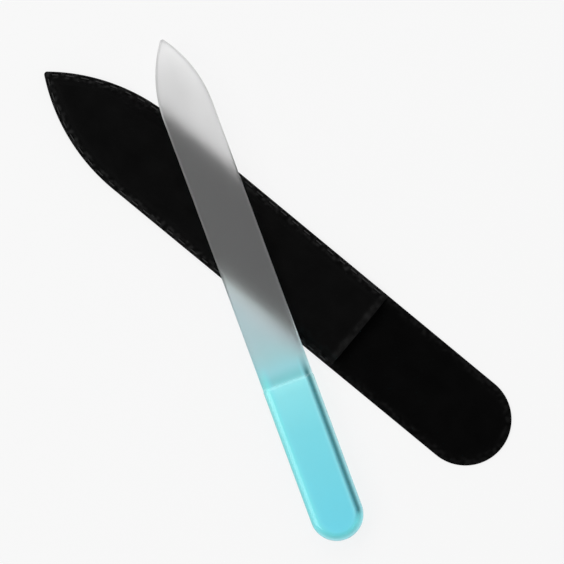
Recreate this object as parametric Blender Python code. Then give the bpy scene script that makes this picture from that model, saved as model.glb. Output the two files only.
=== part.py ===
"""Glass nail file lying across the sewn fabric sleeve that it is stored in.

Metres, +Z up. The sleeve lies along X, its point towards -X, with its underside on z = 0 and the
origin under its middle. The file lies level across the sleeve, blade down on the pocket's top.
"""
from math import asin, atan2, cos, pi, radians, sin

import bmesh
import bpy
from mathutils import Matrix, Vector

MM = 0.001

# Glass file: one piece of toughened glass, etched all over except on its grip
FILE_LENGTH = 140.0 * MM
FILE_NOSE_LENGTH = 20.0 * MM
FILE_POINT_RADIUS = 0.7 * MM
GRIP_WIDTH = 14.1 * MM
GRIP_LENGTH = 44.3 * MM
GRIP_THICKNESS = 3.0 * MM
GRIP_BEVEL_WIDTH = 2.1 * MM
GRIP_BEVEL_HEIGHT = 1.0 * MM
ETCH_DEPTH = 0.15 * MM
BLADE_BEVEL = 0.5 * MM
LIP_RUN = 0.9 * MM

# Sleeve: a full-length back panel and a shorter front panel sewn to it along the edge
SLEEVE_END_ROOM = 15.8 * MM
SLEEVE_NOSE_LENGTH = 33.0 * MM
SLEEVE_POINT_RADIUS = 1.5 * MM
TAIL_WIDTH = 24.4 * MM
GRIP_COVER = 11.5 * MM
FILE_SIDE_ROOM = 3.6 * MM
FILE_HEADROOM = 1.3 * MM
PANEL_THICKNESS = 1.0 * MM
SHOULDER_RADIUS = 1.2 * MM
CREASE_RADIUS = 0.6 * MM
POCKET_SIDE_ANGLE = radians(70)

# Lockstitch seam: a needle thread above and a bobbin thread below, meeting inside the panels
STITCH_LENGTH = 4.05 * MM
THREAD_DIAMETER = 0.35 * MM
THREAD_GAP = 0.15 * MM
THREAD_RECESS = 0.05 * MM
DIP_RUN = 0.45 * MM
SLIT_MARGIN = 0.1 * MM
CHANNEL_FLARE = 0.1 * MM
SEAM_MARGIN = 0.3 * MM
SEAM_END_MARGIN = 1.2 * MM

# Where the file lies across the sleeve
CROSSING_FROM_SLEEVE_POINT = 63.1 * MM
CROSSING_FROM_FILE_POINT = 52.0 * MM
CROSSING_ANGLE = radians(-30.24)
REST_GAP = 0.3 * MM

CUT_OVERRUN = 1.0 * MM

# How finely round outlines are drawn
POINT_STEPS = 3
NOSE_STEPS = 10
SIDE_STEPS = 6
END_STEPS = 12
BEND_STEPS = 3
EDGE_STEPS = 4
LIP_STEPS = 4
BLUNT_SHARE = 0.75
POINT_SWEEP_SHARE = 0.06
SMOOTH_ANGLE = radians(35)

# Worked out from the sizes above
BLADE_WIDTH = GRIP_WIDTH - 2 * ETCH_DEPTH
BLADE_THICKNESS = GRIP_THICKNESS - 2 * ETCH_DEPTH
BLADE_LENGTH = FILE_LENGTH - GRIP_LENGTH
SLIT_WIDTH = THREAD_DIAMETER + 2 * THREAD_GAP
SLIT_LENGTH = 2 * (DIP_RUN + THREAD_GAP)
CHANNEL_FLOOR_WIDTH = SLIT_WIDTH + 2 * SLIT_MARGIN
CHANNEL_WIDTH = CHANNEL_FLOOR_WIDTH + 2 * CHANNEL_FLARE
CHANNEL_DEPTH = THREAD_RECESS + THREAD_DIAMETER + THREAD_GAP
SEAM_INSET = SEAM_MARGIN + CHANNEL_WIDTH / 2
FLANGE_WIDTH = SEAM_INSET + CHANNEL_WIDTH / 2 + SEAM_MARGIN
SLEEVE_WIDTH = GRIP_WIDTH + 2 * (FILE_SIDE_ROOM + FLANGE_WIDTH)
SLEEVE_LENGTH = FILE_LENGTH + SLEEVE_END_ROOM
POCKET_LENGTH = BLADE_LENGTH + GRIP_COVER
POCKET_HEIGHT = GRIP_THICKNESS + FILE_HEADROOM
POCKET_FLOOR = PANEL_THICKNESS
SLEEVE_TOP = POCKET_FLOOR + POCKET_HEIGHT + PANEL_THICKNESS


def polar(radius, angle):
    """The point at this radius and angle from zero."""
    return Vector((radius * cos(angle), radius * sin(angle)))


def nose(half_width, nose_length, point_radius, inset):
    """Half of a pointed nose, inset from its outline, from its point to its straight side.

    The side is an arc that runs on into the straight side, and a small arc blunts the point.
    """
    reach = nose_length - point_radius
    arc = (reach ** 2 + half_width ** 2 - point_radius ** 2) / (2 * (half_width - point_radius))
    drop = arc - half_width
    centre = Vector((nose_length, -drop))
    if inset < BLUNT_SHARE * point_radius:
        first = atan2(drop, -reach)
        blunt = Vector((point_radius, 0))
        turns = [pi + (first - pi) * i / POINT_STEPS for i in range(POINT_STEPS)]
        points = [blunt + polar(point_radius - inset, turn) for turn in turns]
    else:
        start = pi - asin(drop / (arc - inset))
        first = start + (pi / 2 - start) * POINT_SWEEP_SHARE
        turns = [start + (first - start) * i / POINT_STEPS for i in range(POINT_STEPS)]
        points = [centre + polar(arc - inset, turn) for turn in turns]
    for i in range(NOSE_STEPS + 1):
        points.append(centre + polar(arc - inset, first + (pi / 2 - first) * i / NOSE_STEPS))
    return points


def round_end(centre_x, radius):
    """A quarter of a round end, from its side to the axis."""
    turns = [pi / 2 * (1 - i / END_STEPS) for i in range(END_STEPS + 1)]
    points = [Vector((centre_x, 0)) + polar(radius, turn) for turn in turns]
    points[-1].y = 0
    return points


def closed_ring(half):
    """A whole outline from its half, starting at the round end and going round by the point."""
    mirrored = [Vector((p.x, -p.y)) for p in half[1:-1]]
    return half[::-1] + mirrored


def open_ring(half):
    """Both sides of an outline from one half, from end to end by the point."""
    mirrored = [Vector((p.x, -p.y)) for p in half[1:]]
    return half[::-1] + mirrored


def fill_across(bm, row, closed):
    """Fill a ring with faces that run straight across the part's axis."""
    middle = len(row) // 2
    left = row[:middle + 1]
    right = row[:middle - 1:-1]
    if closed:
        right = row[:1] + right
    for corners in zip(left, left[1:], right[1:], right):
        bm.faces.new(list(dict.fromkeys(corners)))


def skin(name, rings, closed):
    """One closed mesh over rings of equal length, with the first and last ring filled."""
    bm = bmesh.new()
    rows = [[bm.verts.new(point) for point in ring] for ring in rings]
    count = len(rows[0])
    sides = count if closed else count - 1
    for low, high in zip(rows, rows[1:]):
        for i in range(sides):
            after = (i + 1) % count
            bm.faces.new((low[i], low[after], high[after], high[i]))
    fill_across(bm, rows[0], closed)
    fill_across(bm, rows[-1], closed)
    if not closed:
        bm.faces.new([row[0] for row in rows] + [row[-1] for row in reversed(rows)])
    bmesh.ops.recalc_face_normals(bm, faces=bm.faces)
    mesh = bpy.data.meshes.new(name)
    bm.to_mesh(mesh)
    bm.free()
    mesh.shade_smooth()
    mesh.set_sharp_from_angle(angle=SMOOTH_ANGLE)
    return mesh


def place(name, data, parent, location=(0, 0, 0)):
    """Put one piece into the scene under its parent."""
    piece = bpy.data.objects.new(name, data)
    bpy.context.scene.collection.objects.link(piece)
    piece.parent = parent
    piece.location = location
    return piece


def material(name, colour, roughness, transmission=0.0, sheen=0.0):
    """A plain finish for one piece."""
    finish = bpy.data.materials.new(name)
    finish.use_nodes = True
    shader = finish.node_tree.nodes["Principled BSDF"]
    shader.inputs["Base Color"].default_value = (*colour, 1)
    shader.inputs["Roughness"].default_value = roughness
    shader.inputs["Metallic"].default_value = 0
    shader.inputs["Transmission Weight"].default_value = transmission
    shader.inputs["Sheen Weight"].default_value = sheen
    finish.diffuse_color = (*colour, 1)
    return finish


def file_levels(thickness, bevel_width, bevel_height):
    """Insets and heights up one rounded side of the glass, from the lower face to the upper."""
    turns = [pi / 2 * i / EDGE_STEPS for i in range(EDGE_STEPS + 1)]
    lower = [(bevel_width * (1 - sin(turn)), bevel_height * (1 - cos(turn))) for turn in turns]
    upper = [(inset, thickness - height) for inset, height in reversed(lower)]
    return lower + upper


def glass_file(parent):
    """The file, its point at its own origin and the blade's lower face on z = 0."""
    lip_shares = [i / LIP_STEPS for i in range(LIP_STEPS + 1)]
    end_x = FILE_LENGTH - GRIP_WIDTH / 2
    rings = []
    blade_levels = file_levels(BLADE_THICKNESS, BLADE_BEVEL, BLADE_BEVEL)
    grip_levels = file_levels(GRIP_THICKNESS, GRIP_BEVEL_WIDTH, GRIP_BEVEL_HEIGHT)
    for (blade_inset, blade_z), (grip_inset, grip_z) in zip(blade_levels, grip_levels):
        grip_z -= ETCH_DEPTH
        blade_y = BLADE_WIDTH / 2 - blade_inset
        grip_y = GRIP_WIDTH / 2 - grip_inset
        half = nose(BLADE_WIDTH / 2, FILE_NOSE_LENGTH, FILE_POINT_RADIUS, blade_inset)
        heights = [blade_z] * len(half)
        for share in lip_shares:
            rise = sin(share * pi / 2)
            half.append(Vector((BLADE_LENGTH + LIP_RUN * share, blade_y + (grip_y - blade_y) * rise)))
            heights.append(blade_z + (grip_z - blade_z) * rise)
        end = round_end(end_x, grip_y)
        half += end
        heights += [grip_z] * len(end)
        ring = closed_ring(half)
        heights = heights[::-1] + heights[1:-1]
        rings.append([point.to_3d() + Vector((0, 0, z)) for point, z in zip(ring, heights)])
    mesh = skin("glass_file", rings, closed=True)
    mesh.materials.append(material("etched_glass", (0.62, 0.65, 0.66), 0.45, transmission=0.6))
    mesh.materials.append(material("turquoise_grip", (0.16, 0.62, 0.70), 0.08))
    for face in mesh.polygons:
        face.material_index = int(face.center.x > BLADE_LENGTH)
    return place("glass_file", mesh, parent, (-CROSSING_FROM_FILE_POINT, 0, 0))


def side_point(x, inset):
    """The point of the sleeve's tapering side, inset, this far from the sleeve's point."""
    taper_run = SLEEVE_LENGTH - TAIL_WIDTH / 2 - SLEEVE_NOSE_LENGTH
    taper_share = (x - SLEEVE_NOSE_LENGTH) / taper_run
    half_width = (SLEEVE_WIDTH + (TAIL_WIDTH - SLEEVE_WIDTH) * taper_share) / 2
    return Vector((x, half_width - inset))


def pocket_side(inset):
    """Half of the pocket's outline, inset, from the sleeve's point to the pocket's mouth."""
    half = nose(SLEEVE_WIDTH / 2, SLEEVE_NOSE_LENGTH, SLEEVE_POINT_RADIUS, inset)
    for i in range(1, SIDE_STEPS + 1):
        x = SLEEVE_NOSE_LENGTH + (POCKET_LENGTH - SLEEVE_NOSE_LENGTH) * i / SIDE_STEPS
        half.append(side_point(x, inset))
    return half


def channel_levels(surface, depth):
    """Insets and heights across the channel that the seam draws into a panel."""
    return [(SEAM_INSET - CHANNEL_WIDTH / 2, surface),
            (SEAM_INSET - CHANNEL_FLOOR_WIDTH / 2, surface + depth),
            (SEAM_INSET + CHANNEL_FLOOR_WIDTH / 2, surface + depth),
            (SEAM_INSET + CHANNEL_WIDTH / 2, surface)]


def pocket_levels(skin_offset):
    """Insets and heights up the pocket's side, from the sewn flange to the flat top."""
    foot = CREASE_RADIUS + PANEL_THICKNESS
    bends = foot + SHOULDER_RADIUS
    slope = (POCKET_HEIGHT - bends * (1 - cos(POCKET_SIDE_ANGLE))) / sin(POCKET_SIDE_ANGLE)
    run = bends * sin(POCKET_SIDE_ANGLE) + slope * cos(POCKET_SIDE_ANGLE)
    turns = [POCKET_SIDE_ANGLE * i / BEND_STEPS for i in range(BEND_STEPS + 1)]
    levels = []
    for turn in turns:
        radius = foot - skin_offset
        levels.append((FLANGE_WIDTH + radius * sin(turn), POCKET_FLOOR + foot - radius * cos(turn)))
    for turn in reversed(turns):
        radius = SHOULDER_RADIUS + skin_offset
        ceiling = POCKET_FLOOR + POCKET_HEIGHT - SHOULDER_RADIUS
        levels.append((FLANGE_WIDTH + run - radius * sin(turn), ceiling + radius * cos(turn)))
    return levels


def sleeve_front_panel(parent):
    """The pocket's front: a sewn flange, risen sides and a flat top, open at the mouth."""
    rim = [(0, POCKET_FLOOR), (0, POCKET_FLOOR + PANEL_THICKNESS)]
    channel = channel_levels(POCKET_FLOOR + PANEL_THICKNESS, -CHANNEL_DEPTH)
    levels = pocket_levels(0)[::-1] + rim + channel + pocket_levels(PANEL_THICKNESS)
    rings = []
    for inset, z in levels:
        ring = open_ring(pocket_side(inset))
        rings.append([point.to_3d() + Vector((0, 0, z)) for point in ring])
    mesh = skin("sleeve_front_panel", rings, closed=False)
    mesh.materials.append(material("front_velvet", (0.004, 0.004, 0.004), 0.95, sheen=0.2))
    return place("sleeve_front_panel", mesh, parent)


def sleeve_back_panel(parent):
    """The full-length flat panel, with the seam's channel in its underside up to the mouth."""
    end_x = SLEEVE_LENGTH - TAIL_WIDTH / 2
    rings = []
    levels = [(0, PANEL_THICKNESS), (0, 0)] + channel_levels(0, CHANNEL_DEPTH)
    for inset, z in levels:
        half = pocket_side(inset)
        depths = [z] * len(half)
        tail = [side_point(POCKET_LENGTH + CHANNEL_DEPTH, inset)]
        tail += round_end(end_x, TAIL_WIDTH / 2 - inset)
        in_channel = 0 < z < PANEL_THICKNESS
        half += tail
        depths += [0 if in_channel else z] * len(tail)
        ring = closed_ring(half)
        depths = depths[::-1] + depths[1:-1]
        rings.append([point.to_3d() + Vector((0, 0, depth)) for point, depth in zip(ring, depths)])
    mesh = skin("sleeve_back_panel", rings, closed=True)
    mesh.materials.append(material("back_velvet", (0.003, 0.003, 0.003), 0.95, sheen=0.2))
    return place("sleeve_back_panel", mesh, parent)


def seam_point(distance):
    """The point of the seam at this distance from its point, which one side counts as negative."""
    half = pocket_side(SEAM_INSET)
    left = abs(distance)
    for start, end in zip(half, half[1:]):
        step = (end - start).length
        if left <= step:
            break
        left -= step
    point = start.lerp(end, left / step)
    if distance < 0:
        point.y = -point.y
    return point


def stitch_places():
    """Distances along the seam of its needle holes, one of them at the sleeve's point."""
    half = pocket_side(SEAM_INSET)
    half_length = sum((end - start).length for start, end in zip(half, half[1:])) - SEAM_END_MARGIN
    count = round(half_length / STITCH_LENGTH)
    return [half_length * i / count for i in range(-count, count + 1)]


def needle_slits(parent):
    """Cutter for the holes that the needle makes through both panels."""
    bm = bmesh.new()
    height = 2 * PANEL_THICKNESS + 2 * CUT_OVERRUN
    size = Matrix.Diagonal((SLIT_LENGTH, SLIT_WIDTH, height, 1))
    for distance in stitch_places():
        point = seam_point(distance)
        ahead = seam_point(distance + DIP_RUN) - seam_point(distance - DIP_RUN)
        turn = Matrix.Rotation(atan2(ahead.y, ahead.x), 4, "Z")
        move = Matrix.Translation((point.x, point.y, POCKET_FLOOR))
        bmesh.ops.create_cube(bm, size=1, matrix=move @ turn @ size)
    mesh = bpy.data.meshes.new("needle_slits")
    bm.to_mesh(mesh)
    bm.free()
    cutter = place("needle_slits", mesh, parent)
    cutter.hide_render = True
    cutter.display_type = "WIRE"
    return cutter


def cut(piece, cutter):
    """Cut one piece with another, which stays in the scene as a guide."""
    boolean = piece.modifiers.new(cutter.name, "BOOLEAN")
    boolean.operation = "DIFFERENCE"
    boolean.solver = "EXACT"
    boolean.object = cutter


def seam_thread(name, parent, side, finish):
    """One thread of the seam, above the panels' joint for side 1 and below it for side -1.

    It lies in its channel from hole to hole, and dips into each hole to meet the other thread.
    """
    lying = PANEL_THICKNESS - THREAD_RECESS - THREAD_DIAMETER / 2
    dipping = THREAD_DIAMETER / 2 + THREAD_GAP / 2
    places = stitch_places()
    points = []
    for distance in places:
        for offset, height in ((-DIP_RUN, lying), (0, dipping), (DIP_RUN, lying)):
            if places[0] <= distance + offset <= places[-1]:
                point = seam_point(distance + offset)
                points.append((point.x, point.y, POCKET_FLOOR + side * height))
    curve = bpy.data.curves.new(name, "CURVE")
    curve.dimensions = "3D"
    curve.bevel_depth = THREAD_DIAMETER / 2
    curve.bevel_resolution = 1
    curve.use_fill_caps = True
    spline = curve.splines.new("POLY")
    spline.points.add(len(points) - 1)
    for knot, point in zip(spline.points, points):
        knot.co = (*point, 1)
    curve.materials.append(finish)
    return place(name, curve, parent)


def build():
    """Clear the scene and make every piece."""
    for old in list(bpy.data.objects):
        bpy.data.objects.remove(old)

    sleeve = place("sleeve", None, None, (-SLEEVE_LENGTH / 2, 0, 0))
    slits = needle_slits(sleeve)
    for panel in (sleeve_back_panel(sleeve), sleeve_front_panel(sleeve)):
        cut(panel, slits)
    needle_finish = material("needle_thread", (0.05, 0.05, 0.05), 0.7)
    bobbin_finish = material("bobbin_thread", (0.04, 0.04, 0.04), 0.7)
    seam_thread("seam_needle_thread", sleeve, 1, needle_finish)
    seam_thread("seam_bobbin_thread", sleeve, -1, bobbin_finish)

    crossing_x = CROSSING_FROM_SLEEVE_POINT - SLEEVE_LENGTH / 2
    lift = place("file_lift", None, None, (crossing_x, 0, SLEEVE_TOP + REST_GAP))
    lift.rotation_euler = (0, 0, CROSSING_ANGLE)
    glass_file(lift)


build()
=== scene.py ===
"""Looks of the glass nail file that lies across its sewn fabric sleeve.

Metres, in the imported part's frame: the sleeve lies along X with its point towards -X and its
underside on z = 0, and the file lies across it. Sizes repeat the part's own, so each piece fills the
space of its solid, apart from the cloth's shallow relief and the pile at the sleeve's point.
"""
from bisect import bisect_left
from math import asin, atan2, cos, pi, radians, sin, sqrt

import bmesh
import bpy
from mathutils import Matrix, Vector, kdtree, noise


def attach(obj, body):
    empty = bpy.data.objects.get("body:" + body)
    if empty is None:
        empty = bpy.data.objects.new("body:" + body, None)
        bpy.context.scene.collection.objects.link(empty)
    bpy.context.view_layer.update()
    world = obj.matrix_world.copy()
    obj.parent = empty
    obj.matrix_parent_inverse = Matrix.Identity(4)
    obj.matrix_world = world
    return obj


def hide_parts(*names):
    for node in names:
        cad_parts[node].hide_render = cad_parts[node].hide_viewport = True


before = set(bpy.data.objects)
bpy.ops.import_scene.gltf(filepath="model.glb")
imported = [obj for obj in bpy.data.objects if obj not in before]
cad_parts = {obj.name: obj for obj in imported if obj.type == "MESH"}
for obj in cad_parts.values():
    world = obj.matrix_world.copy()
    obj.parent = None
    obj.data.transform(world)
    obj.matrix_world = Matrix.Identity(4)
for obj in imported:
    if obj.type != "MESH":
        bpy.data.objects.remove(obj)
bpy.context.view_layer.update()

MM = 0.001

# Camera: straight above, turned so that the sleeve runs down to the right
IMAGE_WIDTH = 148.5 * MM
CAMERA_TURN = radians(39.51)
CAMERA_AIM = Vector((5.21 * MM, -2.82 * MM, 6.0 * MM))
CAMERA_DISTANCE = 1.5
SENSOR_WIDTH = 36.0

# Glass file
FILE_LENGTH = 140.0 * MM
FILE_NOSE_LENGTH = 20.0 * MM
FILE_POINT_RADIUS = 0.7 * MM
GRIP_WIDTH = 14.1 * MM
GRIP_LENGTH = 44.3 * MM
GRIP_THICKNESS = 3.0 * MM
GRIP_BEVEL_WIDTH = 2.1 * MM
GRIP_BEVEL_HEIGHT = 1.0 * MM
ETCH_DEPTH = 0.15 * MM
BLADE_BEVEL = 0.5 * MM
LIP_RUN = 0.9 * MM
FACE_INSET = 3.3 * MM
FACE_SHARES = (0.07, 0.5, 1.0)  # where rings lie on the way from the bevel to FACE_INSET
BLADE_WIDTH = GRIP_WIDTH - 2 * ETCH_DEPTH
BLADE_THICKNESS = GRIP_THICKNESS - 2 * ETCH_DEPTH
BLADE_LENGTH = FILE_LENGTH - GRIP_LENGTH

# Sleeve
SLEEVE_LENGTH = 155.8 * MM
SLEEVE_WIDTH = 24.6 * MM
SLEEVE_NOSE_LENGTH = 33.0 * MM
SLEEVE_POINT_RADIUS = 0.8 * MM  # of the pile, whose point is sharper than the panels' own
POINT_PILE = 0.39 * MM  # how far the pile stands past the panels' point
TAIL_WIDTH = 24.4 * MM
POCKET_LENGTH = 107.2 * MM
POCKET_HEIGHT = 4.3 * MM
PANEL_THICKNESS = 1.0 * MM
FLANGE_WIDTH = 1.65 * MM
SHOULDER_RADIUS = 1.2 * MM
CREASE_RADIUS = 0.6 * MM
POCKET_SIDE_ANGLE = radians(70)
PANEL_SPACING = 0.02 * MM
HALF_THICKNESS = PANEL_THICKNESS / 2
SLEEVE_TOP = POCKET_HEIGHT + 2 * PANEL_THICKNESS

# Lockstitch seam
SEAM_INSET = 0.825 * MM
SEAM_END_MARGIN = 1.2 * MM
STITCH_LENGTH = 4.05 * MM
THREAD_DIAMETER = 0.35 * MM
THREAD_GAP = 0.15 * MM
THREAD_RECESS = 0.05 * MM
THREAD_ARCH = 0.06 * MM
DIP_RUN = 1.3 * MM
CHANNEL_WIDTH = 1.05 * MM
CHANNEL_DEPTH = 0.55 * MM
HOLE_RADIUS = 0.34 * MM
HOLE_DEPTH = 0.2 * MM
COVERED_RUN = 0.75 * MM
COVER_CHANGE = 0.9
PLY_COUNT = 3
PLY_TWIST_LENGTH = 1.1 * MM
PLY_SAMPLE = 0.11 * MM
PLY_SIDES = 6

# Softness of the cloth
SWELL_HEIGHT = 0.14 * MM
SWELL_SIZE = 11.0 * MM
NAP_HEIGHT = 0.03 * MM
NAP_SIZE = 1.3 * MM
LIP_SWELL = 0.14 * MM
LIP_WIDTH = 2.8 * MM
# Painted sheen where the pile opens: at the pocket's mouth and in patches along the cloth's edge
LIP_PAINTED_SHEEN = 0.75
LIP_SHEEN_CHANGE = 0.5
EDGE_PAINTED_SHEEN = 1.6
EDGE_SHEEN_COVER = 0.5
EDGE_SHEEN_SIZE = 1.1 * MM
EDGE_SHEEN_FULL = 1.0 * MM
EDGE_SHEEN_END = 3.2 * MM

# Where the file lies
CROSSING_FROM_SLEEVE_POINT = 63.1 * MM
CROSSING_FROM_FILE_POINT = 52.0 * MM
CROSSING_ANGLE = radians(-30.24)
REST_GAP = 0.3 * MM

# How finely the meshes are drawn
POINT_STEPS = 6
FILE_NOSE_STEPS = 72
FILE_END_STEPS = 56
FILE_EDGE_STEPS = 10
LIP_STEPS = 10
STATION_COUNT = 24
CLOTH_SPACING = 0.3 * MM
CLOTH_END_STEPS = 56
MOUTH_STEPS = 6
RIM_STEPS = 5
FLANGE_STEPS = 24
BEND_STEPS = 6
SLOPE_STEPS = 4
STRIPS_ACROSS = 28
BLUNT_SHARE = 0.75  # insets up to this share of a point's radius keep its blunt arc
POINT_SWEEP_SHARE = 0.01  # deeper ones start with this share of the side's arc instead
WELD_DISTANCE = 0.002 * MM

# Glass finish
# Tint by the millimetres from the glass's point, counted askew on the blade: clear, then turquoise.
# It holds painted light and shade as well: a painted lighter band at 73 to 75 and painted shade from
# 78 to 88 beside the sleeve's edge, where the turquoise sets in, and at the lip painted shade at 94.8
# and a painted highlight at 96.7
GLASS_TINTS_AND_PAINTED_LIGHT = (
    (3.0, (1.0, 1.0, 1.0)),
    (9.0, (0.86, 0.86, 0.86)),
    (15.0, (0.80, 0.80, 0.80)),
    (26.0, (0.735, 0.735, 0.735)),
    (67.0, (0.735, 0.735, 0.735)),
    (73.0, (0.88, 0.93, 0.92)),
    (75.0, (0.80, 0.90, 0.90)),
    (78.0, (0.61, 0.70, 0.72)),
    (81.0, (0.52, 0.635, 0.665)),
    (84.0, (0.465, 0.625, 0.655)),
    (88.0, (0.41, 0.66, 0.69)),
    (92.0, (0.36, 0.72, 0.78)),
    (94.8, (0.23, 0.65, 0.69)),
    (96.7, (0.34, 0.90, 0.95)),
    (99.0, (0.29, 0.84, 0.91)),
    (110.0, (0.215, 0.77, 0.87)),
    (140.0, (0.155, 0.725, 0.88)),
)
# Per millimetre across, the blade's tint, with its painted light and shade, comes TINT_SKEW later, and
# this skew fades SKEW_LAG later
TINT_SKEW = 1.5
SKEW_LAG = 0.8
SKEW_START = 30.0 * MM
SKEW_FULL = 50.0 * MM
SKEW_FADE = 78.0 * MM
SKEW_END = 90.0 * MM
# Colour of the upper bevel, from just before the grip on, by the millimetres in from its edge:
# a painted highlight along one long side, which adds to the softboxes' own highlight, a dark line
# of painted shade along the other long side, and painted shade round the end
PAINTED_BEVEL_HIGHLIGHT = (
    (0.0, (0.38, 0.80, 0.76)),
    (0.9, (0.26, 0.94, 0.90)),
    (1.5, (0.24, 0.98, 0.96)),
    (2.3, (0.24, 0.84, 0.92)),
    (3.2, (0.21, 0.77, 0.88)),
)
PAINTED_BEVEL_SHADE = (
    (0.0, (1.0, 1.0, 1.0)),
    (0.4, (0.68, 0.71, 0.72)),
    (0.7, (0.19, 0.34, 0.35)),
    (1.0, (0.018, 0.10, 0.11)),
    (1.25, (0.002, 0.055, 0.062)),
    (1.5, (0.003, 0.07, 0.08)),
    (1.8, (0.05, 0.21, 0.25)),
    (2.5, (0.38, 0.89, 0.97)),
    (3.2, (0.29, 0.84, 0.94)),
)
PAINTED_END_SHADE = (
    (0.0, (1.0, 1.0, 1.0)),
    (0.4, (0.80, 0.93, 0.89)),
    (0.7, (0.38, 0.67, 0.64)),
    (0.95, (0.19, 0.55, 0.52)),
    (1.3, (0.127, 0.52, 0.50)),
    (1.8, (0.105, 0.59, 0.61)),
    (2.3, (0.16, 0.76, 0.88)),
    (3.2, (0.17, 0.75, 0.88)),
)
PAINTED_SHADE_FADE = 134.0 * MM
PAINTED_SHADE_END = 137.5 * MM
PAINTED_END_SHADE_START = 134.0 * MM
PAINTED_END_SHADE_FULL = 138.5 * MM
PAINTED_BEVEL_START = 90.0 * MM
PAINTED_BEVEL_FULL = 95.0 * MM
# The side with the painted highlight and the side with the painted shade blend across the middle
SIDE_BLEND = 5.0 * MM  # how far from the middle the pale and the deep side are full
# Painted shade on the nose: darker along one side and in a line round its edge
NOSE_SHADE = 0.88
NOSE_SHADE_RUN = 4.2 * MM
RIM_SHADE = 0.80
RIM_FULL = 0.4 * MM
RIM_END = 0.8 * MM
NOSE_SHADE_FULL = 15.0 * MM
NOSE_SHADE_END = 26.0 * MM
ETCHED_CLARITY = 0.975
GRIP_CLARITY = 0.92
ETCHED_ROUGHNESS = 0.62
GRIP_ROUGHNESS = 0.06
GLASS_IOR = 1.5
GRAIN_SIZE = 0.22 * MM
GRAIN_HEIGHT = 0.006 * MM

# Cloth and thread finishes: a pile's shades are dark, light, and the painted sheen where its pile opens
OUTER_PILE = (0.0030, 0.0054, 0.0200)
INNER_PILE = (0.0019, 0.0035, 0.0080)
PILE_NOISE_RANGE = (0.6, 1.4)
THREAD_SHADES = (0.020, 0.045)
THREAD_NOISE_RANGE = (0.3, 0.7)
FIBRE_SIZE = 0.16 * MM
FIBRE_HEIGHT = 0.05 * MM
THREAD_FIBRE_HEIGHT = FIBRE_HEIGHT / 4
CLOUD_SIZE = 6.0 * MM

# Floor and light
PALE = 0.945
FLOOR_GLOW = 0.88
FLOOR_SIZE = 30.0
FLOOR_DROP = 0.05 * MM
WORLD_STRENGTH = 0.5
SOFTBOX_SIZE = 0.7
SOFTBOX_DISTANCE = 1.2
SOFTBOX_POWER = 4.0
SOFTBOX_ELEVATION = radians(62)
SOFTBOX_BEARINGS = (radians(190), radians(110))


def camera():
    """The camera, straight above the part with a long lens."""
    lens = bpy.data.cameras.new("camera")
    lens.sensor_width = SENSOR_WIDTH
    lens.lens = SENSOR_WIDTH * CAMERA_DISTANCE / IMAGE_WIDTH
    made = bpy.data.objects.new("camera", lens)
    bpy.context.scene.collection.objects.link(made)
    made.location = CAMERA_AIM + Vector((0, 0, CAMERA_DISTANCE))
    made.rotation_euler = (0, 0, CAMERA_TURN)
    bpy.context.scene.camera = made


def polar(radius, angle):
    """The point at this radius and angle from zero."""
    return Vector((radius * cos(angle), radius * sin(angle)))


def ease(share):
    """A smooth rise from 0 to 1."""
    share = min(1.0, max(0.0, share))
    return share * share * (3 - 2 * share)


def nose(half_width, nose_length, point_radius, inset, steps):
    """Half of a pointed nose, inset from its outline, from its point to its straight side."""
    reach = nose_length - point_radius
    arc = (reach ** 2 + half_width ** 2 - point_radius ** 2) / (2 * (half_width - point_radius))
    drop = arc - half_width
    centre = Vector((nose_length, -drop))
    if inset < BLUNT_SHARE * point_radius:
        first = atan2(drop, -reach)
        blunt = Vector((point_radius, 0))
        turns = [pi + (first - pi) * i / POINT_STEPS for i in range(POINT_STEPS)]
        points = [blunt + polar(point_radius - inset, turn) for turn in turns]
    else:
        start = pi - asin(drop / (arc - inset))
        first = start + (pi / 2 - start) * POINT_SWEEP_SHARE
        turns = [start + (first - start) * i / POINT_STEPS for i in range(POINT_STEPS)]
        points = [centre + polar(arc - inset, turn) for turn in turns]
    points[0].y = 0
    for i in range(steps + 1):
        points.append(centre + polar(arc - inset, first + (pi / 2 - first) * i / steps))
    return points


def round_end(centre_x, radius, steps):
    """A quarter of a round end, from its side to the axis."""
    turns = [pi / 2 * (1 - i / steps) for i in range(steps + 1)]
    points = [Vector((centre_x, 0)) + polar(radius, turn) for turn in turns]
    points[-1].y = 0
    return points


def whole_ring(half, closed):
    """An outline from its half: from its far end, round by the point, and back."""
    last = -1 if closed else len(half)
    return half[::-1] + [Vector((p.x, -p.y, p.z)) for p in half[1:last]]


def add_rows(bm, rings, closed):
    """Vertices of the rings, with faces from each ring to the next."""
    rows = [[bm.verts.new(point) for point in ring] for ring in rings]
    count = len(rows[0])
    sides = count if closed else count - 1
    for low, high in zip(rows, rows[1:]):
        for i in range(sides):
            after = (i + 1) % count
            bm.faces.new((low[i], low[after], high[after], high[i]))
    return rows


def fill_across(bm, row, closed, strips):
    """Fill a ring with a net of faces whose lines run straight across the piece's axis."""
    middle = len(row) // 2
    left = row[:middle + 1]
    right = row[:middle - 1:-1]
    if closed:
        right = row[:1] + right
    lines = []
    for near, far in zip(left, right):
        line = [near] * (strips + 1)
        if near != far:
            inner = [bm.verts.new(near.co.lerp(far.co, k / strips)) for k in range(1, strips)]
            line = [near, *inner, far]
        lines.append(line)
    for line, after in zip(lines, lines[1:]):
        for corners in zip(line, line[1:], after[1:], after):
            bm.faces.new(list(dict.fromkeys(corners)))


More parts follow.
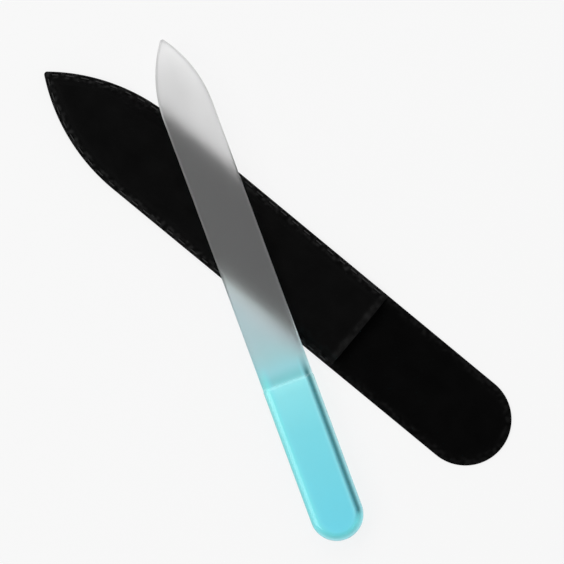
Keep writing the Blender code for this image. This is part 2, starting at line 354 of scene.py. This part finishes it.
def piece(name, bm, body, finishes, location=(0, 0, 0)):
    """A new smooth piece in its place, riding on its body and with its material slot."""
    bmesh.ops.recalc_face_normals(bm, faces=bm.faces)
    mesh = bpy.data.meshes.new(name)
    bm.to_mesh(mesh)
    bm.free()
    mesh.shade_smooth()
    for finish in finishes:
        mesh.materials.append(finish)
    made = bpy.data.objects.new(name, mesh)
    bpy.context.scene.collection.objects.link(made)
    made.location = location
    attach(made, body)
    return made


def file_levels(thickness, bevel_width, bevel_height):
    """Insets and heights up one rounded side of the glass, from the lower face to the upper."""
    turns = [pi / 2 * i / FILE_EDGE_STEPS for i in range(FILE_EDGE_STEPS + 1)]
    lower = [(bevel_width * (1 - sin(turn)), bevel_height * (1 - cos(turn))) for turn in turns]
    for share in FACE_SHARES:
        lower.insert(0, (bevel_width + (FACE_INSET - bevel_width) * share, 0))
    upper = [(inset, thickness - height) for inset, height in reversed(lower)]
    return lower + upper


def file_point():
    """Where the blade's point rests, under the glass."""
    back = polar(CROSSING_FROM_FILE_POINT, CROSSING_ANGLE)
    crossing = CROSSING_FROM_SLEEVE_POINT - SLEEVE_LENGTH / 2
    return Vector((crossing - back.x, -back.y, SLEEVE_TOP + REST_GAP))


def stations(start, end):
    """Places between a start and an end, closer together near both."""
    shares = [ease(i / STATION_COUNT) for i in range(1, STATION_COUNT)]
    return [start + (end - start) * share for share in shares]


def glass_file(finish):
    """The file in one piece of glass, its blade stepped down a little from its grip.

    Each point keeps its inset from the glass's edge, which the finish reads.
    """
    end_x = FILE_LENGTH - GRIP_WIDTH / 2
    blade_levels = file_levels(BLADE_THICKNESS, BLADE_BEVEL, BLADE_BEVEL)
    grip_levels = file_levels(GRIP_THICKNESS, GRIP_BEVEL_WIDTH, GRIP_BEVEL_HEIGHT)
    rings = []
    ring_insets = []
    for (blade_inset, blade_z), (grip_inset, grip_z) in zip(blade_levels, grip_levels):
        grip_z -= ETCH_DEPTH
        blade_y = BLADE_WIDTH / 2 - blade_inset
        grip_y = GRIP_WIDTH / 2 - grip_inset
        plan = nose(BLADE_WIDTH / 2, FILE_NOSE_LENGTH, FILE_POINT_RADIUS, blade_inset,
                    FILE_NOSE_STEPS)
        plan += [Vector((x, blade_y)) for x in stations(FILE_NOSE_LENGTH, BLADE_LENGTH)]
        half = [Vector((x, y, blade_z)) for x, y in plan]
        insets = [blade_inset] * len(half)
        for i in range(LIP_STEPS + 1):
            share = i / LIP_STEPS
            rise = ease(share)
            half.append(Vector((BLADE_LENGTH + LIP_RUN * share,
                                blade_y + (grip_y - blade_y) * rise,
                                blade_z + (grip_z - blade_z) * rise)))
            insets.append(blade_inset + (grip_inset - blade_inset) * rise)
        end = [Vector((x, grip_y)) for x in stations(BLADE_LENGTH + LIP_RUN, end_x)]
        end += round_end(end_x, grip_y, FILE_END_STEPS)
        half += [Vector((x, y, grip_z)) for x, y in end]
        insets += [grip_inset] * len(end)
        rings.append(whole_ring(half, closed=True))
        ring_insets.append(insets[::-1] + insets[1:-1])
    bm = bmesh.new()
    inset_layer = bm.verts.layers.float.new("inset")
    rows = add_rows(bm, rings, closed=True)
    for row, insets in zip(rows, ring_insets):
        for vert, inset in zip(row, insets):
            vert[inset_layer] = inset
    fill_across(bm, rows[0], closed=True, strips=1)
    fill_across(bm, rows[-1], closed=True, strips=1)
    bm.transform(Matrix.Translation(file_point()) @ Matrix.Rotation(CROSSING_ANGLE, 4, "Z"))
    made = piece("glass_nail_file", bm, "file", [finish])
    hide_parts("glass_file")


def side_point(x, inset):
    """The point of the sleeve's tapering side, inset, this far from the sleeve's point."""
    taper_run = SLEEVE_LENGTH - TAIL_WIDTH / 2 - SLEEVE_NOSE_LENGTH
    taper_share = (x - SLEEVE_NOSE_LENGTH) / taper_run
    half_width = (SLEEVE_WIDTH + (TAIL_WIDTH - SLEEVE_WIDTH) * taper_share) / 2
    return Vector((x, half_width - inset))


def pocket_plan(inset):
    """Half of the pocket's outline, inset, from the sleeve's point to the pocket's mouth.

    The pile stands a little past the panels' blunt point, so the point looks sharper.
    """
    steps = round(SLEEVE_NOSE_LENGTH / CLOTH_SPACING)
    sharp = nose(SLEEVE_WIDTH / 2, SLEEVE_NOSE_LENGTH + POINT_PILE, SLEEVE_POINT_RADIUS, inset, steps)
    plan = [Vector((x - POINT_PILE, y)) for x, y in sharp]
    run = POCKET_LENGTH - HALF_THICKNESS - SLEEVE_NOSE_LENGTH
    count = round(run / CLOTH_SPACING)
    places = [SLEEVE_NOSE_LENGTH + run * i / count for i in range(1, count + 1)]
    turns = [pi / 2 * i / MOUTH_STEPS for i in range(1, MOUTH_STEPS + 1)]
    places += [POCKET_LENGTH - HALF_THICKNESS * (1 - sin(turn)) for turn in turns]
    return plan + [side_point(x, inset) for x in places]


def sleeve_plan(inset):
    """Half of the whole sleeve's outline, inset, from its point to its round end."""
    end_x = SLEEVE_LENGTH - TAIL_WIDTH / 2
    run = end_x - POCKET_LENGTH
    count = round(run / CLOTH_SPACING)
    places = [POCKET_LENGTH + run * i / count for i in range(1, count)]
    tail = [side_point(x, inset) for x in places]
    return pocket_plan(inset) + tail + round_end(end_x, TAIL_WIDTH / 2 - inset, CLOTH_END_STEPS)


def mouth_fullness(x):
    """The front panel's thickness as a share, which rounds off to 0 at the pocket's mouth."""
    past = max(0.0, (x - POCKET_LENGTH) / HALF_THICKNESS + 1)
    return sqrt(max(0.0, 1 - past * past))


def flat_profile(middle, inner_inset):
    """Insets and heights from a panel's rounded edge inwards, as pairs of lower and upper points."""
    pairs = []
    for i in range(RIM_STEPS):
        turn = pi / 2 * i / RIM_STEPS
        rise = HALF_THICKNESS * sin(turn)
        inset = HALF_THICKNESS * (1 - cos(turn))
        pairs.append(((inset, middle - rise), (inset, middle + rise)))
    for i in range(FLANGE_STEPS):
        inset = HALF_THICKNESS + (inner_inset - HALF_THICKNESS) * i / FLANGE_STEPS
        pairs.append(((inset, middle - HALF_THICKNESS), (inset, middle + HALF_THICKNESS)))
    return pairs


def pocket_profile():
    """Insets and heights across the front panel, from its edge to the pocket's flat top."""
    bed = PANEL_THICKNESS + PANEL_SPACING
    foot = CREASE_RADIUS + PANEL_THICKNESS
    bends = foot + SHOULDER_RADIUS
    slope = (POCKET_HEIGHT - bends * (1 - cos(POCKET_SIDE_ANGLE))) / sin(POCKET_SIDE_ANGLE)
    run = bends * sin(POCKET_SIDE_ANGLE) + slope * cos(POCKET_SIDE_ANGLE)
    ceiling = PANEL_THICKNESS + POCKET_HEIGHT - SHOULDER_RADIUS
    turns = [POCKET_SIDE_ANGLE * i / BEND_STEPS for i in range(BEND_STEPS + 1)]
    rise = [[(FLANGE_WIDTH + radius * sin(turn), bed + foot - radius * cos(turn))
             for radius in (foot, CREASE_RADIUS)] for turn in turns]
    shoulder = [[(FLANGE_WIDTH + run - radius * sin(turn), ceiling + radius * cos(turn))
                 for radius in (SHOULDER_RADIUS, SHOULDER_RADIUS + PANEL_THICKNESS)]
                for turn in reversed(turns)]
    for i in range(1, SLOPE_STEPS):
        ends = zip(rise[BEND_STEPS], shoulder[0])
        rise.append([tuple(Vector(low).lerp(Vector(high), i / SLOPE_STEPS)) for low, high in ends])
    return flat_profile(bed + HALF_THICKNESS, FLANGE_WIDTH) + rise + shoulder


def cloth(profile, plan_of, closed, fullness, relief, inner_skin):
    """The closed mesh of a panel: lower skin 0 and upper skin 1, which meet round its edge.

    relief gives how far a skin's point moves up and how much painted sheen it gets where its pile
    opens, from its place, its inset and its skin. The inner skin gets the second finish.
    """
    bm = bmesh.new()
    sheen_layer = bm.verts.layers.float.new("painted_sheen")
    for skin in (0, 1):
        first = len(bm.verts)
        first_face = len(bm.faces)
        rings = []
        insets = []
        for pair in profile:
            middle = (Vector(pair[0]) + Vector(pair[1])) / 2
            inset, z = pair[skin]
            half = []
            for x, y in plan_of(inset):
                full = fullness(x)
                half.append(Vector((x, y + (inset - middle.x) * (1 - full),
                                    middle.y + (z - middle.y) * full)))
            rings.append(whole_ring(half, closed))
            insets += [inset] * len(rings[-1])
        rows = add_rows(bm, rings, closed)
        fill_across(bm, rows[-1], closed, STRIPS_ACROSS)
        bm.verts.ensure_lookup_table()
        bm.faces.ensure_lookup_table()
        for face in bm.faces[first_face:]:
            face.material_index = int(skin == inner_skin)
        points = bm.verts[first:]
        insets += insets[-1:] * (len(points) - len(insets))
        for vert, inset in zip(points, insets):
            near_edge = fullness(vert.co.x) * ease(inset / HALF_THICKNESS)
            rise, vert[sheen_layer] = relief(vert.co, inset, skin)
            vert.co.z += near_edge * rise
    bmesh.ops.remove_doubles(bm, verts=bm.verts, dist=WELD_DISTANCE)
    return bm


def uneven(point, size):
    """Smooth noise over the cloth, from -1 to 1."""
    return noise.noise(Vector((point.x / size, point.y / size, size)))


def edge_sheen(point, inset):
    """Painted sheen where the pile opens along the cloth's edge, more in some patches than in others."""
    patches = max(0.0, EDGE_SHEEN_COVER + uneven(point, EDGE_SHEEN_SIZE))
    return EDGE_PAINTED_SHEEN * patches * ease((EDGE_SHEEN_END - inset) / (EDGE_SHEEN_END - EDGE_SHEEN_FULL))


class Seam:
    """The seam's plan line from the sleeve's point to the mouth, and its needle holes."""

    def __init__(self):
        self.plan = pocket_plan(SEAM_INSET)
        self.reached = [0.0]
        for start, end in zip(self.plan, self.plan[1:]):
            self.reached.append(self.reached[-1] + (end - start).length)
        half_length = self.reached[-1] - SEAM_END_MARGIN
        count = round(half_length / STITCH_LENGTH)
        self.pitch = half_length / count
        self.end = half_length
        self.holes = kdtree.KDTree(2 * count + 1)
        for i in range(-count, count + 1):
            self.holes.insert(self.point(i * self.pitch).to_3d(), i + count)
        self.holes.balance()

    def point(self, distance):
        """The seam's point this far from the sleeve's point; one side counts as negative."""
        left = abs(distance)
        i = min(max(bisect_left(self.reached, left), 1), len(self.plan) - 1)
        share = (left - self.reached[i - 1]) / (self.reached[i] - self.reached[i - 1])
        point = self.plan[i - 1].lerp(self.plan[i], share)
        if distance < 0:
            point.y = -point.y
        return point

    def pull(self, point, inset):
        """How far the seam draws a skin in at this point.

        The channel is full over the middle half of its width, and the pile closes over the thread
        beside each needle hole.
        """
        off = abs(inset - SEAM_INSET) / (CHANNEL_WIDTH / 2)
        from_hole = self.holes.find((point.x, point.y, 0))[2]
        covered = COVERED_RUN * (1 + COVER_CHANGE * uneven(point, STITCH_LENGTH))
        bare = ease((from_hole - covered) / COVERED_RUN)
        groove = CHANNEL_DEPTH * (1 - ease(2 * off - 1)) * bare
        return groove + HOLE_DEPTH * (1 - ease(from_hole / HOLE_RADIUS / 2))


def front_relief(seam):
    """Seam, softness, mouth and painted sheen of the front panel, whose lip is full over half of its
    width.
    """
    def relief(point, inset, skin):
        risen = ease((inset - FLANGE_WIDTH) / SHOULDER_RADIUS)
        swell = SWELL_HEIGHT * uneven(point, SWELL_SIZE) * risen
        from_mouth = (POCKET_LENGTH - point.x) / LIP_WIDTH
        at_mouth = ease(2 - 2 * from_mouth)
        lip_sheen = LIP_PAINTED_SHEEN * at_mouth * (1 + LIP_SHEEN_CHANGE * uneven(point, NAP_SIZE))
        if skin == 0:
            return swell, lip_sheen
        nap = NAP_HEIGHT * uneven(point, NAP_SIZE)
        rise = swell + nap + LIP_SWELL * at_mouth * risen - seam.pull(point, inset)
        return rise, max(lip_sheen, edge_sheen(point, inset))
    return relief


def back_relief(seam):
    """Seam, softness and painted edge sheen of the back panel, whose underside stays at z = 0 or just
    above it.
    """
    def relief(point, inset, skin):
        nap = NAP_HEIGHT * uneven(point, NAP_SIZE)
        on_tail = ease((point.x - POCKET_LENGTH) / LIP_WIDTH)
        if skin == 1:
            swell = SWELL_HEIGHT / 2 * uneven(point, SWELL_SIZE)
            return on_tail * (nap + swell), edge_sheen(point, inset)
        on_seam = 1 - ease((point.x - POCKET_LENGTH) / CHANNEL_DEPTH)
        return nap + NAP_HEIGHT + seam.pull(point, inset) * on_seam, edge_sheen(point, inset)
    return relief


def thread(name, seam, side, finish, node):
    """One twisted thread of the seam, above the panels' joint for side 1 and below it for -1."""
    lying = PANEL_THICKNESS - THREAD_RECESS - THREAD_DIAMETER / 2
    dipping = (THREAD_DIAMETER + THREAD_GAP) / 2
    count = round(2 * seam.end / PLY_SAMPLE)
    line = []
    for i in range(count + 1):
        distance = seam.end * (2 * i / count - 1)
        from_hole = abs((distance / seam.pitch + 0.5) % 1 - 0.5) * seam.pitch
        arch = THREAD_ARCH * ease(2 * from_hole / seam.pitch)
        height = dipping + (lying + arch - dipping) * ease(from_hole / DIP_RUN)
        line.append(Vector((*seam.point(distance), PANEL_THICKNESS + side * height)))
    ply_radius = THREAD_DIAMETER / 2 / (1 + 2 / sqrt(3))
    ply_offset = THREAD_DIAMETER / 2 - ply_radius
    bm = bmesh.new()
    for ply in range(PLY_COUNT):
        rings = []
        for i, middle in enumerate(line):
            ahead = (line[min(i + 1, count)] - line[max(i - 1, 0)]).normalized()
            across = ahead.cross(Vector((0, 0, 1))).normalized()
            up = across.cross(ahead)
            turn = 2 * pi * (ply / PLY_COUNT + i * PLY_SAMPLE / PLY_TWIST_LENGTH)
            centre = middle + ply_offset * (cos(turn) * across + sin(turn) * up)
            turns = [2 * pi * k / PLY_SIDES for k in range(PLY_SIDES)]
            rings.append([centre + ply_radius * (cos(t) * across + sin(t) * up) for t in turns])
        rows = add_rows(bm, rings, closed=True)
        bm.faces.new(rows[0])
        bm.faces.new(rows[-1])
    made = piece(name, bm, "sleeve", [finish], (-SLEEVE_LENGTH / 2, 0, 0))
    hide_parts(node)
    return made


def blank(name):
    """A new finish, its node tree and its shader."""
    finish = bpy.data.materials.new(name)
    finish.use_nodes = True
    return finish, finish.node_tree, finish.node_tree.nodes["Principled BSDF"]


def add(tree, kind, inputs=None, **settings):
    """A node of this kind. Each input is a plain value or another node's output."""
    made = tree.nodes.new(kind)
    for name, value in settings.items():
        setattr(made, name, value)
    join(tree, made, inputs or {})
    return made


def join(tree, node, inputs):
    """Set a node's inputs, each to a plain value or another node's output."""
    for name, value in inputs.items():
        if isinstance(value, bpy.types.NodeSocket):
            tree.links.new(value, node.inputs[name])
        else:
            node.inputs[name].default_value = value


def between(tree, value, start, end, low=0.0, high=1.0):
    """An output that goes from low to high as the value goes from start to end."""
    inputs = {"Value": value, "From Min": start, "From Max": end, "To Min": low, "To Max": high}
    return add(tree, "ShaderNodeMapRange", inputs).outputs["Result"]


def ramp(tree, value, stops):
    """A colour that follows the value through these (place, colour) stops."""
    made = add(tree, "ShaderNodeValToRGB", {"Fac": value})
    elements = made.color_ramp.elements
    for i, (place, colour) in enumerate(stops):
        element = elements[i] if i < len(elements) else elements.new(place)
        element.position = place
        element.color = (*colour, 1)
    return made.outputs["Color"]


def reckon(tree, operation, first, second):
    """The result of a sum with an output and another output or a plain value."""
    return add(tree, "ShaderNodeMath", {0: first, 1: second}, operation=operation).outputs[0]


def times(tree, first, second):
    """The product of an output and another output or a plain value."""
    return reckon(tree, "MULTIPLY", first, second)


def ramp_along(tree, distance, stops):
    """A colour that follows a distance through these (millimetres, colour) stops."""
    end = stops[-1][0]
    return ramp(tree, between(tree, distance, 0, end * MM), [(mm / end, colour) for mm, colour in stops])


def blend(tree, share, first, second, kind="MIX"):
    """A colour between two colours, or the first one changed by the second in another way."""
    # The node's colours go in at its sockets 6 and 7 and come out at 2
    made = add(tree, "ShaderNodeMix", {0: share, 6: first, 7: second}, data_type="RGBA",
               blend_type=kind)
    return made.outputs[2]


def glass_finish():
    """Glass, etched matt on the blade and polished on the grip, with a tint that fades in, and with
    painted light and shade on the blade, its nose, the lip and the grip's rounded edges.
    """
    finish, tree, shader = blank("etched_tinted_glass")
    place = add(tree, "ShaderNodeMapping", {
        "Vector": add(tree, "ShaderNodeTexCoord").outputs["Object"],
        "Location": file_point(),
        "Rotation": (0, 0, CROSSING_ANGLE),
    }, vector_type="TEXTURE").outputs["Vector"]
    parts = add(tree, "ShaderNodeSeparateXYZ", {"Vector": place})
    along, across, height = parts.outputs
    polish = between(tree, along, BLADE_LENGTH - LIP_RUN / 2, BLADE_LENGTH + LIP_RUN / 2)
    lagging = reckon(tree, "SUBTRACT", along, times(tree, across, SKEW_LAG))
    skew = times(tree, between(tree, along, SKEW_START, SKEW_FULL, 0, TINT_SKEW),
                 between(tree, lagging, SKEW_END, SKEW_FADE))
    changed = reckon(tree, "SUBTRACT", along, times(tree, across, skew))
    # The tint holds painted light and shade beside the sleeve's edge and at the lip
    tint = ramp_along(tree, changed, GLASS_TINTS_AND_PAINTED_LIGHT)

    inset = add(tree, "ShaderNodeAttribute", attribute_name="inset").outputs["Fac"]
    # Painted shade: the nose darker along one side and in a line round its edge
    shade = times(tree, between(tree, across, 0, NOSE_SHADE_RUN, NOSE_SHADE, 1),
                  between(tree, inset, RIM_FULL, RIM_END, RIM_SHADE, 1))
    on_nose = between(tree, along, NOSE_SHADE_END, NOSE_SHADE_FULL)
    tint = blend(tree, on_nose, tint, shade, "MULTIPLY")

    # Painted highlight along one side of the grip's upper bevel, painted shade along the other and round
    # its end
    side = times(tree, between(tree, across, -SIDE_BLEND, SIDE_BLEND),
                 between(tree, along, PAINTED_SHADE_END, PAINTED_SHADE_FADE))
    bevel = blend(tree, side, ramp_along(tree, inset, PAINTED_BEVEL_HIGHLIGHT), ramp_along(tree, inset, PAINTED_BEVEL_SHADE))
    at_end = between(tree, along, PAINTED_END_SHADE_START, PAINTED_END_SHADE_FULL)
    bevel = blend(tree, at_end, bevel, ramp_along(tree, inset, PAINTED_END_SHADE))
    at_edge = between(tree, inset, PAINTED_BEVEL_HIGHLIGHT[-1][0] * MM, GRIP_BEVEL_WIDTH)
    reach = between(tree, along, PAINTED_BEVEL_START, PAINTED_BEVEL_FULL)
    on_top = between(tree, height, BLADE_THICKNESS / 2, GRIP_THICKNESS - GRIP_BEVEL_HEIGHT)
    share = times(tree, times(tree, at_edge, reach), on_top)
    tint = blend(tree, share, tint, bevel)

    grain = add(tree, "ShaderNodeTexNoise", {"Vector": place, "Scale": 1 / GRAIN_SIZE, "Detail": 3})
    etch = between(tree, polish, 0, 1, 1, 0)
    bump = add(tree, "ShaderNodeBump", {"Height": times(tree, grain.outputs["Fac"], etch),
                                        "Distance": GRAIN_HEIGHT, "Strength": 1})
    join(tree, shader, {
        "Base Color": tint,
        "Roughness": between(tree, polish, 0, 1, ETCHED_ROUGHNESS, GRIP_ROUGHNESS),
        "Transmission Weight": between(tree, polish, 0, 1, ETCHED_CLARITY, GRIP_CLARITY),
        "IOR": GLASS_IOR,
        "Normal": bump.outputs["Normal"],
    })
    return finish


def grey(level):
    """A neutral colour."""
    return (level, level, level)


def pile_finish(name, shades):
    """Short black pile: its nap lies differently here and there, and it gets a lighter painted sheen
    where it opens.
    """
    finish, tree, shader = blank(name)
    place = add(tree, "ShaderNodeTexCoord").outputs["Object"]
    clouds = add(tree, "ShaderNodeTexNoise", {"Vector": place, "Scale": 1 / CLOUD_SIZE, "Detail": 3})
    fibres = add(tree, "ShaderNodeTexNoise", {"Vector": place, "Scale": 1 / FIBRE_SIZE, "Detail": 4})
    mixed = reckon(tree, "ADD", clouds.outputs["Fac"], fibres.outputs["Fac"])
    dark, light, painted_sheen = [grey(level) for level in shades]
    sheen_share = add(tree, "ShaderNodeAttribute", attribute_name="painted_sheen").outputs["Fac"]
    # Painted sheen: the pile is lighter where it opens
    shade = reckon(tree, "ADD", between(tree, mixed, *PILE_NOISE_RANGE), sheen_share)
    colour = ramp(tree, between(tree, shade, 0, 2), [(0, dark), (0.5, light), (1, painted_sheen)])
    bump = add(tree, "ShaderNodeBump", {"Height": fibres.outputs["Fac"], "Distance": FIBRE_HEIGHT,
                                        "Strength": 0.6})
    join(tree, shader, {
        "Base Color": colour,
        "Roughness": 1.0,
        "Specular IOR Level": 0.0,
        "Sheen Weight": 0.25,
        "Sheen Roughness": 0.5,
        "Sheen Tint": (*grey(0.03), 1),
        "Normal": bump.outputs["Normal"],
    })
    return finish


def thread_finish():
    """Spun thread, its fibres a little lighter and darker."""
    finish, tree, shader = blank("spun_thread")
    place = add(tree, "ShaderNodeTexCoord").outputs["Object"]
    fibres = add(tree, "ShaderNodeTexNoise", {"Vector": place, "Scale": 1 / FIBRE_SIZE, "Detail": 2})
    shades = [grey(level) for level in THREAD_SHADES]
    bump = add(tree, "ShaderNodeBump", {"Height": fibres.outputs["Fac"],
                                        "Distance": THREAD_FIBRE_HEIGHT, "Strength": 0.5})
    join(tree, shader, {
        "Base Color": ramp(tree, fibres.outputs["Fac"], zip(THREAD_NOISE_RANGE, shades)),
        "Roughness": 0.75,
        "Specular IOR Level": 0.3,
        "Normal": bump.outputs["Normal"],
    })
    return finish


def pale_to_sight(tree):
    """An output that is 1 for what the camera sees, plain or by glass and gloss."""
    path = add(tree, "ShaderNodeLightPath")
    seen = path.outputs["Is Camera Ray"]
    for kind in ("Is Glossy Ray", "Is Transmission Ray"):
        seen = reckon(tree, "MAXIMUM", seen, path.outputs[kind])
    return seen


def floor():
    """A plain pale floor, which mostly glows to sight, so that the part's shadow on it is faint."""
    half = FLOOR_SIZE / 2
    mesh = bpy.data.meshes.new("floor")
    corners = [(-half, -half, -FLOOR_DROP), (half, -half, -FLOOR_DROP),
               (half, half, -FLOOR_DROP), (-half, half, -FLOOR_DROP)]
    mesh.from_pydata(corners, [], [(0, 1, 2, 3)])
    finish, tree, shader = blank("floor")
    join(tree, shader, {"Base Color": (*grey(PALE), 1), "Roughness": 1.0, "Specular IOR Level": 0.0})
    glow = add(tree, "ShaderNodeEmission", {"Color": (*grey(PALE), 1), "Strength": 1.0})
    share = between(tree, pale_to_sight(tree), 0, 1, 0, FLOOR_GLOW)
    mix = add(tree, "ShaderNodeMixShader", {0: share, 1: shader.outputs[0], 2: glow.outputs[0]})
    tree.links.new(mix.outputs[0], tree.nodes["Material Output"].inputs["Surface"])
    mesh.materials.append(finish)
    made = bpy.data.objects.new("floor", mesh)
    bpy.context.scene.collection.objects.link(made)


def lights():
    """Soft light from all round, and two softboxes."""
    world = bpy.data.worlds.new("studio")
    bpy.context.scene.world = world
    world.use_nodes = True
    tree = world.node_tree
    strength = between(tree, pale_to_sight(tree), 0, 1, WORLD_STRENGTH, 1.0)
    join(tree, tree.nodes["Background"], {"Color": (*grey(PALE), 1), "Strength": strength})
    lamp = bpy.data.lights.new("softbox", "AREA")
    lamp.size = SOFTBOX_SIZE
    lamp.energy = SOFTBOX_POWER
    for bearing in SOFTBOX_BEARINGS:
        made = bpy.data.objects.new("softbox", lamp)
        bpy.context.scene.collection.objects.link(made)
        aside = polar(cos(SOFTBOX_ELEVATION), CAMERA_TURN + bearing)
        towards = Vector((*aside, sin(SOFTBOX_ELEVATION)))
        made.location = CAMERA_AIM + towards * SOFTBOX_DISTANCE
        made.rotation_euler = towards.to_track_quat("Z", "Y").to_euler()


def sleeve():
    """Both panels and both threads of the sleeve."""
    seam = Seam()
    place = (-SLEEVE_LENGTH / 2, 0, 0)
    outer = pile_finish("outer_pile", OUTER_PILE)
    inner = pile_finish("inner_pile", INNER_PILE)
    needle = thread("needle_thread", seam, 1, thread_finish(), "seam_needle_thread")
    bobbin = thread("bobbin_thread", seam, -1, thread_finish(), "seam_bobbin_thread")

    front_mesh = cloth(pocket_profile(), pocket_plan, closed=False, fullness=mouth_fullness,
                       relief=front_relief(seam), inner_skin=0)
    front = piece("front_panel", front_mesh, "sleeve", [outer, inner], place)
    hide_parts("sleeve_front_panel")

    back_mesh = cloth(flat_profile(HALF_THICKNESS, EDGE_SHEEN_END), sleeve_plan, closed=True,
                      fullness=lambda x: 1.0, relief=back_relief(seam), inner_skin=1)
    back = piece("back_panel", back_mesh, "sleeve", [outer, inner], place)
    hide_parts("sleeve_back_panel")


camera()
bpy.context.scene.view_settings.view_transform = "Standard"
floor()
lights()
sleeve()
glass_file(glass_finish())
